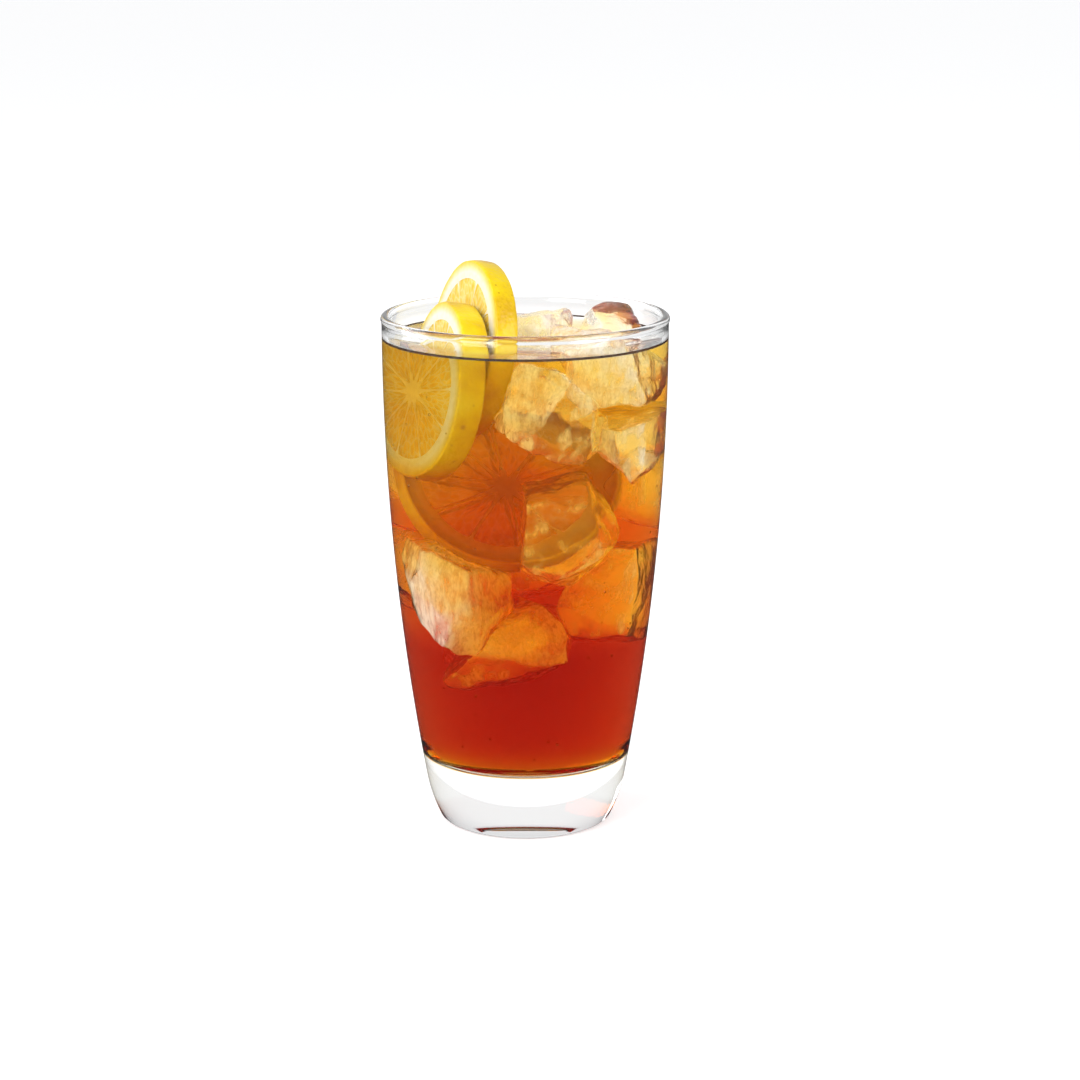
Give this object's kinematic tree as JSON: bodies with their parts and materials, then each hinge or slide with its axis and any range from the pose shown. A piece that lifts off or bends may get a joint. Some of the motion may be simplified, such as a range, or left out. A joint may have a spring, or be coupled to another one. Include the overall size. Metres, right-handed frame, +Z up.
{
  "type": "glass of iced lemon tea",
  "caption": "Tall curved tumbler of iced black tea with lemon wheels standing in it and lumps of ice floating through the surface; a cold drink to set on a table.",
  "frame": {"origin": "centre of the foot, on the table", "axes": "+Z up, the drinker and the main view on the -Y side, lemon to the left at -X"},
  "size_m": [0.0828, 0.0828, 0.1643],
  "materials": {
    "glass": "clear polished",
    "tea": "clear amber liquid",
    "lemon": "waxy rind, pale pith and moist pulp",
    "ice": "clear with cloudy core"
  },
  "bodies": {
    "root": {"glass": "glass", "tea": "tea", "lemon_slice_front": "lemon", "lemon_slice_back": "lemon", "ice_middle": "ice", "ice_right": "ice", "ice_back": "ice"}
  },
  "joints": []
}
